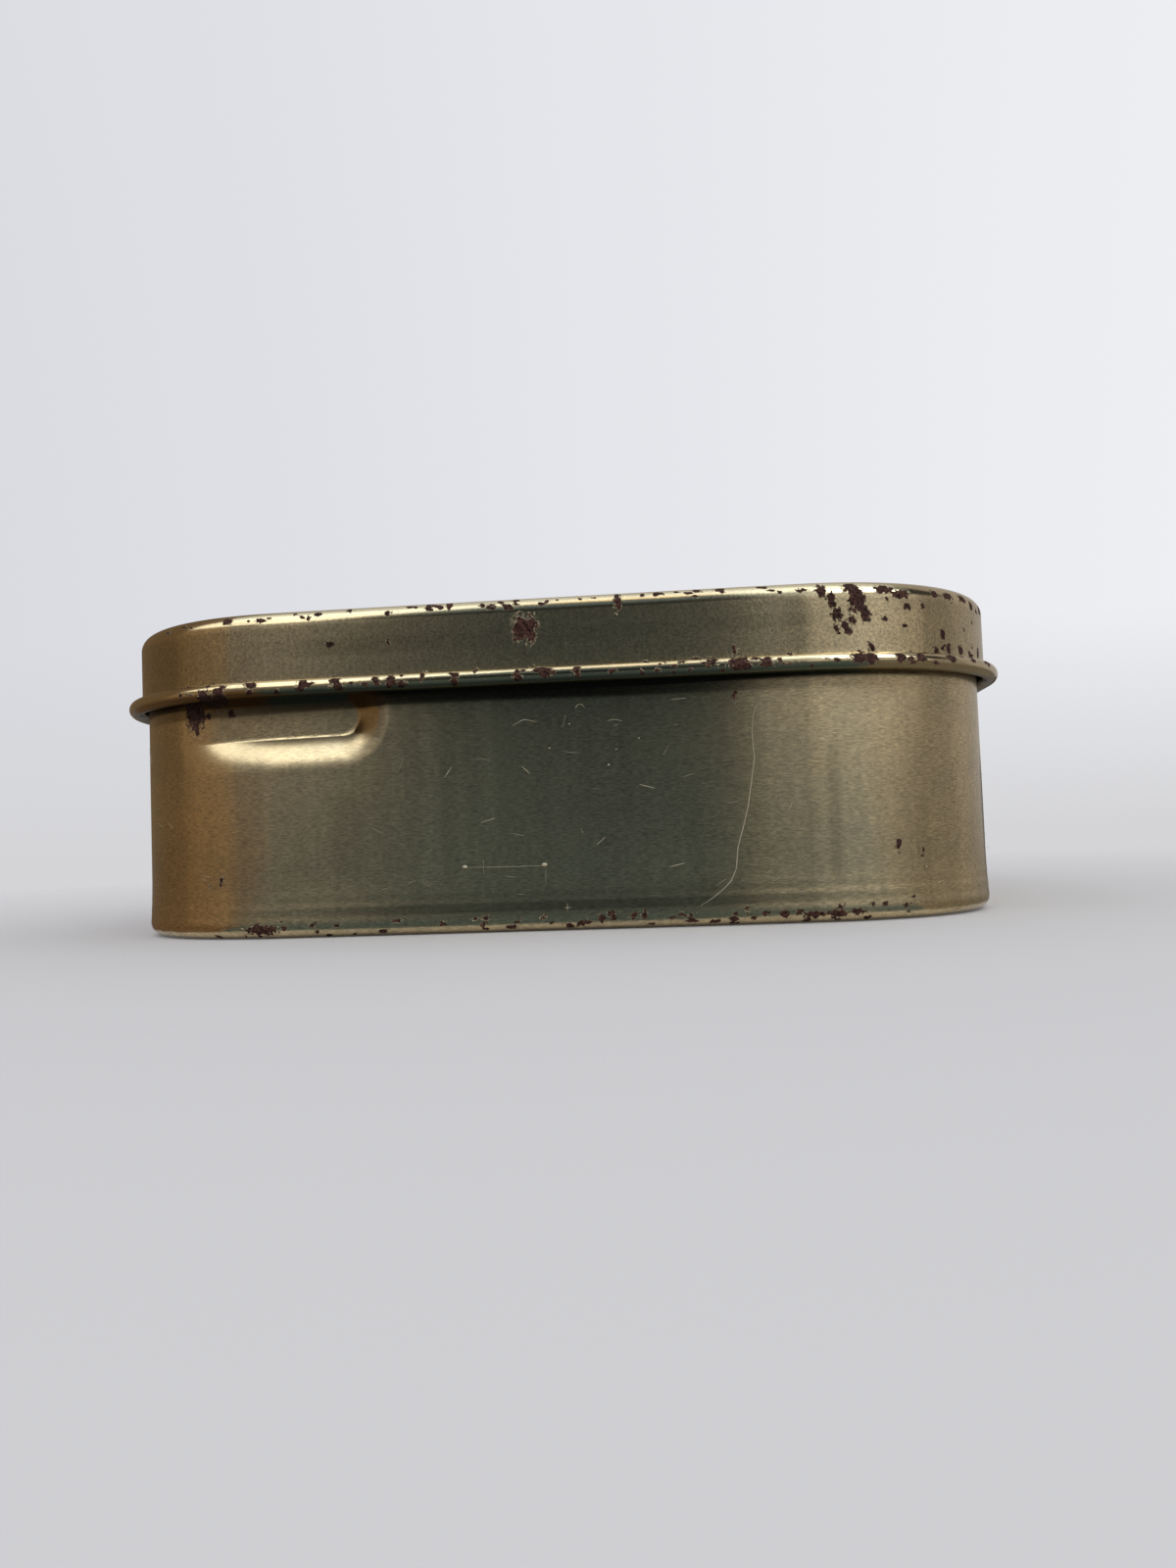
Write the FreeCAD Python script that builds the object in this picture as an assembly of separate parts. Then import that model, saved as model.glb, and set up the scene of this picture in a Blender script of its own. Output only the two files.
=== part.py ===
import FreeCAD, Part
import math
import os

# A flat pressed-metal tin with rounded corners: a shut box and the slip-on lid that rests on it.
# Millimetres. The base stands on z = 0 with +Z up, X runs across the short ends and Y along the tin.
# The origin is the middle of the footprint, and the end with the thumb recess faces -Y.
# The box is solid, because a shut tin can't be seen into. The lid is a cap of thin sheet.
#
# Both pieces are drawn as upright sections that run once round the plan. In a section, a point is
# (out, z): its distance outside the line of the box's wall, and its height.

# ---- driving dimensions ----
body_width = 83.0           # X, between the walls just under the lid
body_length = 108.0         # Y, between the walls just under the lid
corner_radius = 18.0        # plan radius of the box's corners
tin_height = 29.2           # from the base to the edge of the lid's top
sheet = 0.25                # thickness of the lid's metal

wall_flare = 0.19           # how far the wall stands out at the base, on every side
base_edge_radius = 1.3      # rounding between wall and base
base_margin = 5.0           # flat rim that the tin rests on, from the wall to the base's panel
base_panel_depth = 0.4      # how far the base's panel is pressed up
panel_slope_width = 1.2     # width of the sloped step round the base's panel and the lid's

lid_clearance = 0.3         # gap between the box's wall and the lid's skirt
lid_edge_radius = 1.4       # outside rounding between the lid's top and skirt
skirt_height = 7.85         # from the edge of the lid's top to the bead's lower edge
bead_diameter = 1.5         # of the round bead that the skirt's lower edge is rolled into
lid_margin = 4.5            # flat rim on top of the lid, from the wall's line to its panel
lid_panel_rise = 0.3        # how far the lid's panel is pressed up

recess_depth = 1.05         # of the flat floor of the thumb recess, behind the end wall
recess_floor_height = 3.1   # of that floor, which is round at its inner end
recess_drop = 1.95          # from the bead's lower edge down to the middle of the floor
recess_run = 7.6            # from the start of the rounded corner to the floor's inner end
recess_floor_slope = 29.0   # degrees, of the recess's ramp where it leaves the floor
recess_wall_slope = 11.0    # degrees, of that ramp where it meets the wall

# ---- sizes that follow ----
flat_x = body_width / 2 - corner_radius
flat_y = body_length / 2 - corner_radius
top_underside = tin_height - sheet
inner_edge_radius = lid_edge_radius - sheet
bead_radius = bead_diameter / 2
bead_middle = tin_height - skirt_height + bead_radius
skirt_out = lid_clearance + sheet
core_inset = max(base_margin, lid_margin) + panel_slope_width + 1.0
half_diagonal = math.sqrt(0.5)


class Section:
    """An upright closed outline of straight lines and arcs, drawn point by point as (out, z)."""

    def __init__(self, out, z):
        self.first = self.place(out, z)
        self.last = self.first
        self.edges = []

    @staticmethod
    def place(out, z):
        return FreeCAD.Vector(body_width / 2 + out, -flat_y, z)

    def line(self, out, z):
        end = self.place(out, z)
        self.edges.append(Part.LineSegment(self.last, end).toShape())
        self.last = end

    def arc(self, middle, end):
        middle, end = self.place(*middle), self.place(*end)
        self.edges.append(Part.Arc(self.last, middle, end).toShape())
        self.last = end

    def face(self):
        self.edges.append(Part.LineSegment(self.last, self.first).toShape())
        return Part.Face(Part.Wire(self.edges))


def run_round(section):
    """Carries a section once round the plan: straight along each side, turning about each corner's centre."""
    up = FreeCAD.Vector(0, 0, 1)
    long_side = section.extrude(FreeCAD.Vector(0, 2 * flat_y, 0))
    at_corner = section.translated(FreeCAD.Vector(0, 2 * flat_y, 0))
    corner_centre = FreeCAD.Vector(flat_x, flat_y, 0)
    corner = at_corner.revolve(corner_centre, up, 90)
    past_corner = at_corner.rotated(corner_centre, up, 90)
    short_side = past_corner.extrude(FreeCAD.Vector(-2 * flat_x, 0, 0))
    far_centre = FreeCAD.Vector(-flat_x, flat_y, 0)
    far_corner = past_corner.translated(FreeCAD.Vector(-2 * flat_x, 0, 0)).revolve(far_centre, up, 90)
    half = [long_side, corner, short_side, far_corner]
    other_half = [piece.rotated(FreeCAD.Vector(), up, 180) for piece in half]
    return half + other_half


def slab(inset, low, high):
    """Upright block whose plan is the box's own, drawn in by an inset."""
    radius = corner_radius - inset
    width, length = body_width - 2 * inset, body_length - 2 * inset
    middle = Part.makeBox(width, 2 * flat_y, high - low, FreeCAD.Vector(-width / 2, -flat_y, low))
    across = Part.makeBox(2 * flat_x, length, high - low, FreeCAD.Vector(-flat_x, -length / 2, low))
    corners = [
        Part.makeCylinder(radius, high - low, FreeCAD.Vector(x, y, low))
        for x in (-flat_x, flat_x)
        for y in (-flat_y, flat_y)
    ]
    return middle.fuse([across] + corners).removeSplitter()


def joined(pieces):
    """One solid made of pieces that share faces."""
    return pieces[0].fuse(pieces[1:]).removeSplitter().Solids[0]


def body_section():
    """Half of the box's upright section, from the core out to the wall."""
    base_radius_centre = (wall_flare - base_edge_radius, base_edge_radius)
    base_arc_middle = (
        base_radius_centre[0] + base_edge_radius * half_diagonal,
        base_radius_centre[1] - base_edge_radius * half_diagonal,
    )
    top_arc_middle = (
        inner_edge_radius * (half_diagonal - 1),
        top_underside + inner_edge_radius * (half_diagonal - 1),
    )
    section = Section(-core_inset, base_panel_depth)
    section.line(-base_margin - panel_slope_width, base_panel_depth)
    section.line(-base_margin, 0)
    section.line(wall_flare - base_edge_radius, 0)
    section.arc(base_arc_middle, (wall_flare, base_edge_radius))
    section.line(0, bead_middle)
    section.line(0, top_underside - inner_edge_radius)
    section.arc(top_arc_middle, (-inner_edge_radius, top_underside))
    section.line(-core_inset, top_underside)
    return section.face()


def recess_half():
    """Half of the recess's cross-section, as seen along the end wall, at the floor's inner end."""
    floor = recess_floor_height / 2
    steep, shallow = math.radians(recess_floor_slope), math.radians(recess_wall_slope)
    ramp_radius = recess_depth / (math.cos(shallow) - math.cos(steep))
    overrun = 2 * wall_flare + 0.1
    centre_x = -flat_x + recess_run - floor
    centre_z = bead_middle - bead_radius - recess_drop

    def place(away, depth):
        return FreeCAD.Vector(centre_x, -body_length / 2 + depth, centre_z + away)

    def on_ramp(slope):
        away = floor + ramp_radius * (math.sin(steep) - math.sin(slope))
        return place(away, ramp_radius * (math.cos(shallow) - math.cos(slope)))

    ramp_top = on_ramp(shallow)
    outside = ramp_top + FreeCAD.Vector(0, -overrun, overrun / math.tan(shallow))
    corners = [outside, place(0, -overrun), place(0, recess_depth), place(floor, recess_depth)]
    edges = [Part.LineSegment(a, b).toShape() for a, b in zip(corners, corners[1:])]
    edges.append(Part.Arc(corners[-1], on_ramp((steep + shallow) / 2), ramp_top).toShape())
    edges.append(Part.LineSegment(ramp_top, outside).toShape())
    return Part.Face(Part.Wire(edges)), FreeCAD.Vector(centre_x, 0, centre_z)


def recess_tool():
    """What the thumb recess takes away: round at its inner end, and running out in the rounded corner."""
    upper, centre = recess_half()
    across = FreeCAD.Vector(0, 1, 0)
    lower = upper.rotated(centre, across, 180)
    run_out = FreeCAD.Vector(-body_width / 2 - centre.x - corner_radius, 0, 0)
    inner_end = upper.revolve(centre, across, 360)
    return joined([inner_end, upper.extrude(run_out), lower.extrude(run_out)])


def make_body():
    block = joined(run_round(body_section()) + [slab(core_inset, base_panel_depth, top_underside)])
    return block.cut(recess_tool())


def lid_section():
    """The lid's sheet in section: the panel's edge, the rounded top edge, the skirt and its bead."""
    rounding_out = skirt_out - lid_edge_radius
    rounding_z = tin_height - lid_edge_radius
    panel_top = tin_height + lid_panel_rise
    notch_reach = bead_radius - sheet
    bead_out = lid_clearance + bead_radius
    section = Section(-core_inset, panel_top)
    section.line(-lid_margin - panel_slope_width, panel_top)
    section.line(-lid_margin, tin_height)
    section.line(rounding_out, tin_height)
    section.arc(
        (rounding_out + lid_edge_radius * half_diagonal, rounding_z + lid_edge_radius * half_diagonal),
        (skirt_out, rounding_z),
    )
    bead_diagonal = bead_radius * half_diagonal
    section.line(skirt_out, bead_middle + math.sqrt(bead_radius**2 - notch_reach**2))
    section.arc((bead_out + bead_radius, bead_middle), (bead_out, bead_middle - bead_radius))
    section.arc((bead_out - bead_diagonal, bead_middle - bead_diagonal), (lid_clearance, bead_middle))
    section.line(lid_clearance, rounding_z)
    section.arc(
        (rounding_out + inner_edge_radius * half_diagonal, rounding_z + inner_edge_radius * half_diagonal),
        (rounding_out, top_underside),
    )
    section.line(-lid_margin, top_underside)
    section.line(-lid_margin - panel_slope_width, panel_top - sheet)
    section.line(-core_inset, panel_top - sheet)
    return section.face()


def make_lid():
    panel_top = tin_height + lid_panel_rise
    return joined(run_round(lid_section()) + [slab(core_inset, panel_top - sheet, panel_top)])


os.makedirs("parts", exist_ok=True)
for node, shape in (("tin_body", make_body()), ("lid", make_lid())):
    shape.exportStep("parts/" + node + ".step")
    print(node, "valid", shape.isValid(), "solids", len(shape.Solids), "volume", round(shape.Volume, 1))
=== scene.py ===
import math

import bpy
import numpy as np
from bpy.props import FloatProperty, FloatVectorProperty, IntProperty, PointerProperty
from bpy.types import Operator, Panel, PropertyGroup
from mathutils import Matrix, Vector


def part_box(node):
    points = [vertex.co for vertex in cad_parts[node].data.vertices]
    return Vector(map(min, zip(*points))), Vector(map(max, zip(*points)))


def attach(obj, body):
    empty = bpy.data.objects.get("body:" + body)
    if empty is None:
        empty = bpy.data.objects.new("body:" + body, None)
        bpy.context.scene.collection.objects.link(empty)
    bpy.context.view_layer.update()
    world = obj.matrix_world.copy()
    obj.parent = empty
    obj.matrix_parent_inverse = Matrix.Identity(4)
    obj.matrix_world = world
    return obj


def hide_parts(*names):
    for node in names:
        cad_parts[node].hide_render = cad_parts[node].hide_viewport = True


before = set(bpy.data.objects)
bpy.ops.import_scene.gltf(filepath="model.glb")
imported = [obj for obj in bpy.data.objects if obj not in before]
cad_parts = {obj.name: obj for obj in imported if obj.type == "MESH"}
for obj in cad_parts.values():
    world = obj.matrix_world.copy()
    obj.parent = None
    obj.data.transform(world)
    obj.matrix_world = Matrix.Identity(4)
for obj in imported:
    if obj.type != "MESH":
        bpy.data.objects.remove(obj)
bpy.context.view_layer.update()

bl_info = {
    "name": "Gold-lacquered pocket tin",
    "version": (1, 0, 0),
    "blender": (4, 5, 0),
    "location": "3D View > Sidebar > Tin",
    "description": "Builds a worn pressed-metal tin with a slip-on lid, and a small studio round it",
    "category": "Object",
}

MM = 0.001
BODY_LOW, BODY_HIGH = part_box("tin_body")
LID_LOW, LID_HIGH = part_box("lid")
ACROSS = (1.0, 0.0, 0.0)    # the way that the sheet of a panel was rolled
RAGGED_EDGE = 1.25          # how much further a chip reaches before fine noise eats into its edge

# The shape of the walls beyond what the properties hold. Lengths are in metres.
FOOT_TOP = 4.6 * MM             # height below which the wall stands out most
FOOT_SHARE = 0.75               # of the flare, that lies below it
WALL_WAVES = 0.03 * MM          # slow unevenness of the box's wall
LID_WAVES = 0.025 * MM          # and of the lid
WAVE_COUNT = 14                 # waves that are added up
WAVE_TURNS = (3, 26)            # times that a wave comes and goes round the plan
WAVE_CLIMB = 38 * MM            # shortest height over which a wave comes and goes
PRESS_MARKS = (1.4, 4.6)        # millimetres up, between which faint level ridges run round the wall
PRESS_MARK_FADES = (0.6, 1.6)   # millimetres over which they come and go
PRESS_MARK_DEPTH = 0.007 * MM
PRESS_MARK_SPACING = 1.15 * MM
WALL_DRAW_IN = 0.28 * MM        # how far the box's wall is drawn in beside each corner
LID_DRAW_IN = 0.1 * MM          # and the lid's
DRAW_IN_PLACE = 2.0 * MM        # from the start of the corner, into its turn
DRAW_IN_WIDTH = 6.5 * MM
RECESS_REACH = 6 * MM           # from the rounded corner's start out to where the recess's tilt starts
RECESS_SETTLE = 0.06 * MM       # how far the tilted recess is let down at its left end
RECESS_RUN_OUT = 0.5            # share of the corner's turning away that makes the recess shallower
RECESS_SOFTNESS = 0.7 * MM      # over which the recess's floor runs out
HAIRLINE_RISE = 0.012 * MM      # of a scratch's ridge, and of its middle line above the wall
HAIRLINE_STEP = 0.12 * MM       # between the points of a scratch


def length(name, description, default_mm):
    """A size property, given in millimetres and held in metres."""
    return FloatProperty(
        name=name, description=description, default=default_mm * MM, min=0.0, unit="LENGTH", precision=5
    )


def angle(name, description, default_degrees):
    """An angle property, given in degrees."""
    return FloatProperty(
        name=name, description=description, default=math.radians(default_degrees), subtype="ANGLE"
    )


def colour(name, description, default):
    """A colour property in linear red, green and blue."""
    return FloatVectorProperty(
        name=name, description=description, default=default, subtype="COLOR", min=0.0, max=1.0, size=3
    )


class TinSizes(PropertyGroup):
    """Sizes of the box and the lid, beyond what the frame's own boxes give."""

    corner_radius: length("Corner radius", "Plan radius of the box's corners", 18.0)
    wall_flare: length("Wall flare", "How far the wall stands out at the base", 0.19)
    base_edge: length("Base edge", "Rounding between wall and base", 1.3)
    base_margin: length("Base rim", "Flat rim round the base's panel", 5.0)
    base_panel: length("Base panel", "How far the base's panel is pressed up", 0.4)
    panel_slope: length("Panel slope", "Width of the step round either panel", 1.2)
    sheet: length("Sheet", "Thickness of the metal", 0.25)
    clearance: length("Lid clearance", "Gap between the wall and the lid's skirt", 0.3)
    lid_edge: length("Lid edge", "Rounding between the lid's top and skirt", 1.4)
    lid_margin: length("Lid rim", "Flat rim round the lid's panel", 4.5)
    lid_panel: length("Lid panel", "How far the lid's panel is pressed up", 0.3)
    bead: length("Bead", "Diameter of the rolled bead", 1.5)
    recess_depth: length("Recess depth", "Depth of the thumb recess's floor", 1.05)
    recess_floor: length("Recess floor", "Height of the thumb recess's floor", 3.1)
    recess_drop: length("Recess drop", "From the bead down to the middle of that floor", 1.95)
    recess_run: length("Recess run", "From the rounded corner to the floor's inner end", 7.6)
    recess_ramp: length("Recess ramp", "Width of the ramp round that floor", 3.1)
    recess_ease: FloatProperty(
        name="Recess ease", description="How evenly the ramp levels out; more keeps it steeper for longer",
        default=1.7, min=0.5,
    )
    recess_tilt: angle("Recess tilt", "How far the recess is turned out of level", 0.9)


class TinFinish(PropertyGroup):
    """Colours of the lacquer, the bare scratches and the rust."""

    gold: colour("Gold lacquer", "Colour of the lacquered metal", (0.72, 0.575, 0.335))
    gold_dull: colour("Dull lacquer", "Colour where the lacquer has darkened", (0.56, 0.46, 0.29))
    bare: colour("Bare metal", "Colour inside a scratch", (0.72, 0.68, 0.54))
    rust: colour("Rust", "Colour of rust in a chip", (0.14, 0.065, 0.047))
    rust_dark: colour("Dark rust", "Colour of the darkest rust", (0.018, 0.008, 0.006))
    roughness: FloatProperty(
        name="Roughness", description="Roughness of sound lacquer", default=0.275, min=0.0, max=1.0,
        subtype="FACTOR",
    )
    polished: FloatProperty(
        name="Polished edges", description="Roughness of the edges that hands have polished", default=0.19,
        min=0.0, max=1.0, subtype="FACTOR",
    )
    seed: IntProperty(name="Seed", description="Where the random wear falls", default=7)


class TinStage(PropertyGroup):
    """The floor, the air round the tin, and the camera."""

    floor: colour("Floor", "Colour of the floor", (0.74, 0.73, 0.73))
    air_left: colour("Air on the left", "Colour of the air on the left", (0.70, 0.71, 0.75))
    air_right: colour("Air on the right", "Colour of the air on the right", (0.87, 0.88, 0.91))
    air_low: colour("Air low down", "Colour of the air where it meets the floor", (0.66, 0.66, 0.68))
    tent: FloatProperty(name="Light tent", description="Strength of the softboxes", default=1.0, min=0.0)
    tent_radius: length("Tent radius", "How far the softboxes stand from the tin's front", 350.0)
    apron_margin: length("Apron margin", "How far from the wall the dark apron starts", 0.3)
    floor_reach: length("Floor reach", "Radius of the floor", 3000.0)
    fade_start: length("Fade start", "How far from the tin's middle the floor starts to fade", 30.0)
    fade_end: length("Fade end", "How far from the tin's middle the floor has faded away", 250.0)
    camera_place: FloatVectorProperty(
        name="Camera place", description="Where the camera is", default=(0.0147, -0.1595, 0.0078),
        subtype="TRANSLATION", precision=4,
    )
    camera_turn: angle("Camera turn", "How far the camera is turned to its left", 5.5)
    camera_rise: angle("Camera rise", "How far the camera looks up", 2.6)
    camera_roll: angle("Camera roll", "How far the camera is rolled to its left", -2.1)
    lens: FloatProperty(
        name="Lens", description="Focal length in millimetres, for a 36 mm long side", default=28.125, min=1.0
    )


# ---------------------------------------------------------------- the plan and the surfaces

class Plan:
    """The rounded rectangle that the walls follow, unrolled as a length from the middle of the front."""

    def __init__(self, sizes):
        self.radius = sizes.corner_radius
        self.flat_x = BODY_HIGH.x - sizes.wall_flare - self.radius
        self.flat_y = BODY_HIGH.y - sizes.wall_flare - self.radius
        self.turn = self.radius * math.pi / 2
        half_front, side, back = self.flat_x, 2 * self.flat_y, 2 * self.flat_x
        runs = [half_front, self.turn, side, self.turn, back, self.turn, side, self.turn, half_front]
        self.stops = np.concatenate([[0.0], np.cumsum(runs)])
        self.length = self.stops[-1]

    def at(self, along):
        """Points on the wall's line and outward directions, for lengths along it."""
        along = np.mod(along, self.length)
        last_run = len(self.stops) - 2
        run = np.clip(np.searchsorted(self.stops, along, side="right") - 1, 0, last_run)
        into = along - self.stops[run]
        x, y = np.zeros_like(along), np.zeros_like(along)
        out_x, out_y = np.zeros_like(along), np.zeros_like(along)
        reach_x, reach_y = self.flat_x + self.radius, self.flat_y + self.radius
        straights = {
            0: (lambda d: d, lambda d: -reach_y + 0 * d, 0, -1),
            2: (lambda d: reach_x + 0 * d, lambda d: -self.flat_y + d, 1, 0),
            4: (lambda d: self.flat_x - d, lambda d: reach_y + 0 * d, 0, 1),
            6: (lambda d: -reach_x + 0 * d, lambda d: self.flat_y - d, -1, 0),
            8: (lambda d: -self.flat_x + d, lambda d: -reach_y + 0 * d, 0, -1),
        }
        for index, (at_x, at_y, face_x, face_y) in straights.items():
            here = run == index
            x[here], y[here] = at_x(into[here]), at_y(into[here])
            out_x[here], out_y[here] = face_x, face_y
        corners = {1: (1, -1, -0.5), 3: (1, 1, 0.0), 5: (-1, 1, 0.5), 7: (-1, -1, 1.0)}
        for index, (side_x, side_y, start) in corners.items():
            here = run == index
            angle = start * math.pi + into[here] / self.radius
            out_x[here], out_y[here] = np.cos(angle), np.sin(angle)
            x[here] = side_x * self.flat_x + self.radius * out_x[here]
            y[here] = side_y * self.flat_y + self.radius * out_y[here]
        return x, y, out_x, out_y

    def columns(self, step, fine=()):
        """Lengths along the plan about a step apart, closer together in each (low, high, step) of fine."""
        marks = [
            np.linspace(low, high, max(2, round((high - low) / step)), endpoint=False)
            for low, high in zip(self.stops, self.stops[1:])
        ]
        marks = np.concatenate(marks)
        marks = np.where(marks > self.length / 2, marks - self.length, marks)
        for low, high, close in fine:
            marks = marks[(marks < low - close / 2) | (marks > high + close / 2)]
            marks = np.concatenate([marks, np.arange(low, high, close)])
        return np.sort(marks)


def curve(centre, reach, start, end, count):
    """Points of an ellipse's arc in a section, angles in degrees from straight out, first point left out."""
    angles = np.radians(np.linspace(start, end, count + 1)[1:])
    return [(centre[0] + reach[0] * math.cos(a), centre[1] + reach[1] * math.sin(a)) for a in angles]


def straight(start, end, count):
    """Points along a straight line in a section, first point left out."""
    steps = np.linspace(0, 1, count + 1)[1:]
    return [(start[0] + (end[0] - start[0]) * t, start[1] + (end[1] - start[1]) * t) for t in steps]


def swell(start, end, count):
    """Points along a soft step in a section, first point left out."""
    steps = np.linspace(0, 1, count + 1)[1:]
    return [
        (start[0] + (end[0] - start[0]) * t, start[1] + (end[1] - start[1]) * (1 - math.cos(math.pi * t)) / 2)
        for t in steps
    ]


def ripple(along, height, total, seed, size):
    """A slow unevenness over a wall, in metres, that closes on itself round the plan."""
    draw = np.random.default_rng(seed)
    result = np.zeros(np.broadcast(along, height).shape)
    for _ in range(WAVE_COUNT):
        turns = draw.integers(*WAVE_TURNS)
        climb = draw.uniform(-1, 1) * 2 * math.pi / WAVE_CLIMB
        phase = draw.uniform(0, 2 * math.pi)
        result += np.sin(2 * math.pi * turns * along / total + climb * height + phase) / math.sqrt(turns)
    return result * size / 3


def put_vectors(mesh, name, vectors):
    """Gives each point of a mesh a vector of its own."""
    layer = mesh.attributes.new(name, "FLOAT_VECTOR", "POINT")
    layer.data.foreach_set("vector", vectors.astype(np.float32).ravel())


def closed_mesh(name, plan, points, along, up, panel_rows, fields, end_heights):
    """A closed skin of the rows of points, fanned shut at its two ends, with the fields that colour it."""
    rows, columns = points.shape[:2]
    centre_ends = [(0.0, 0.0, height) for height in end_heights]
    wrap = wrapped(plan, *np.broadcast_arrays(along, up))
    rolled = rolling(plan, along, rows, panel_rows)
    vertices = np.concatenate([points.reshape(-1, 3), np.array(centre_ends)])
    index = np.arange(rows * columns).reshape(rows, columns)
    turned = np.roll(index, -1, axis=1)
    quads = np.stack([index[:-1], turned[:-1], turned[1:], index[1:]], axis=-1).reshape(-1, 4)
    first, last = rows * columns, rows * columns + 1
    fan_first = np.stack([np.full(columns, first), turned[0], index[0]], axis=-1)
    fan_last = np.stack([np.full(columns, last), index[-1], turned[-1]], axis=-1)
    mesh = bpy.data.meshes.new(name)
    mesh.from_pydata(vertices.tolist(), [], quads.tolist() + fan_first.tolist() + fan_last.tolist())
    mesh.shade_smooth()
    put_vectors(mesh, "wrap_mm", np.concatenate([wrap.reshape(-1, 3), np.array(centre_ends) / MM]))
    put_vectors(mesh, "rolled", np.concatenate([rolled.reshape(-1, 3), [ACROSS, ACROSS]]))
    for field, values in fields.items():
        layer = mesh.attributes.new(field, "FLOAT", "POINT")
        flat = np.concatenate([np.broadcast_to(values, (rows, columns)).ravel(), [0.0, 0.0]])
        layer.data.foreach_set("value", flat.astype(np.float32))
    mesh.update()
    return mesh


def wrapped(plan, along, up):
    """Grain coordinates in millimetres: the wall rolled into a true cylinder, so that grain has no seam."""
    radius = plan.length / (2 * math.pi)
    angle = 2 * math.pi * along / plan.length
    return np.stack([radius * np.cos(angle) / MM, radius * np.sin(angle) / MM, up / MM], axis=-1)


def rolling(plan, along, rows, panel_rows):
    """Which way the sheet's level lines run: along the plan on walls and rims, straight across on panels."""
    out_x, out_y = plan.at(along[0])[2:]
    lines = np.stack([-out_y, out_x, np.zeros_like(out_x)], axis=-1)
    result = np.repeat(lines[None, :, :], rows, axis=0)
    result[:panel_rows] = ACROSS
    return result


def blobs(along, up, places, total):
    """One in the middle of each worn place, falling to nothing at its rim. A place is in millimetres."""
    field = np.zeros(np.broadcast(along, up).shape)
    for centre, height, half_width, half_height in places:
        away = (along - centre * MM + total / 2) % total - total / 2
        reach = np.hypot(away / (half_width * MM), (up - height * MM) / (half_height * MM)) / RAGGED_EDGE
        field = np.maximum(field, 1 - reach)
    return np.maximum(field, 0)


# ---------------------------------------------------------------- materials

def placed(name, data):
    """A new object that stands in the scene."""
    thing = bpy.data.objects.new(name, data)
    bpy.context.scene.collection.objects.link(thing)
    return thing


class Nodes:
    """Short calls that add and join the nodes of a material or of the air."""

    def __init__(self, owner):
        owner.use_nodes = True
        self.tree = owner.node_tree
        self.surface = self.tree.nodes.get("Principled BSDF")

    def add(self, kind, inputs=None, **settings):
        node = self.tree.nodes.new(kind)
        for key, value in settings.items():
            setattr(node, key, value)
        for key, value in (inputs or {}).items():
            self.put(value, node.inputs[key])
        return node

    def put(self, value, socket):
        if isinstance(value, bpy.types.NodeSocket):
            self.tree.links.new(value, socket)
        else:
            socket.default_value = value

    def set(self, name, value):
        self.put(value, self.surface.inputs[name])

    def field(self, name):
        return self.add("ShaderNodeAttribute", attribute_name=name)

    def math(self, operation, first, second=0.0, clamp=False):
        node = self.add("ShaderNodeMath", {0: first, 1: second}, operation=operation, use_clamp=clamp)
        return node.outputs[0]

    def stretch(self, vector, scale):
        return self.add("ShaderNodeVectorMath", {0: vector, 1: scale}, operation="MULTIPLY").outputs[0]

    def noise(self, vector, scale, detail=2.0, roughness=0.5):
        stretched = self.stretch(vector, scale)
        inputs = {"Vector": stretched, "Scale": 1.0, "Detail": detail, "Roughness": roughness}
        return self.add("ShaderNodeTexNoise", inputs).outputs["Fac"]

    def span(self, value, low, high, to_low=0.0, to_high=1.0):
        inputs = {"Value": value, "From Min": low, "From Max": high, "To Min": to_low, "To Max": to_high}
        return self.add("ShaderNodeMapRange", inputs, clamp=True).outputs["Result"]

    def mix(self, factor, first, second):
        node = self.add("ShaderNodeMix", data_type="RGBA")
        self.put(factor, node.inputs["Factor"])
        self.put(first, node.inputs["A"])
        self.put(second, node.inputs["B"])
        return node.outputs["Result"]

    def finish(self, shader):
        self.put(shader.outputs[0], self.tree.nodes["Material Output"].inputs["Surface"])

    def dimmed(self, tone, shade):
        return self.add("ShaderNodeVectorMath", {0: tone, "Scale": shade}, operation="SCALE").outputs[0]

    def bump(self, height, depth_mm, normal=None):
        inputs = {"Height": height, "Distance": depth_mm * MM, "Strength": 1.0}
        if normal is not None:
            inputs["Normal"] = normal
        return self.add("ShaderNodeBump", inputs).outputs["Normal"]


def rgba(values):
    return (*values, 1.0)


def rust_mask(nodes, wrap, chip):
    """Ragged-edged chips: the worn places, eaten into by fine noise."""
    ragged = nodes.noise(wrap, (2.5, 2.5, 2.5), detail=7.0, roughness=0.7)
    pushed = nodes.math("MULTIPLY", nodes.math("SUBTRACT", ragged, 0.5), 2.4)
    eaten = nodes.span(nodes.math("ADD", chip, pushed), 0.22, 0.27)
    return nodes.math("MULTIPLY", eaten, nodes.span(chip, 0.0, 0.03))


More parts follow.
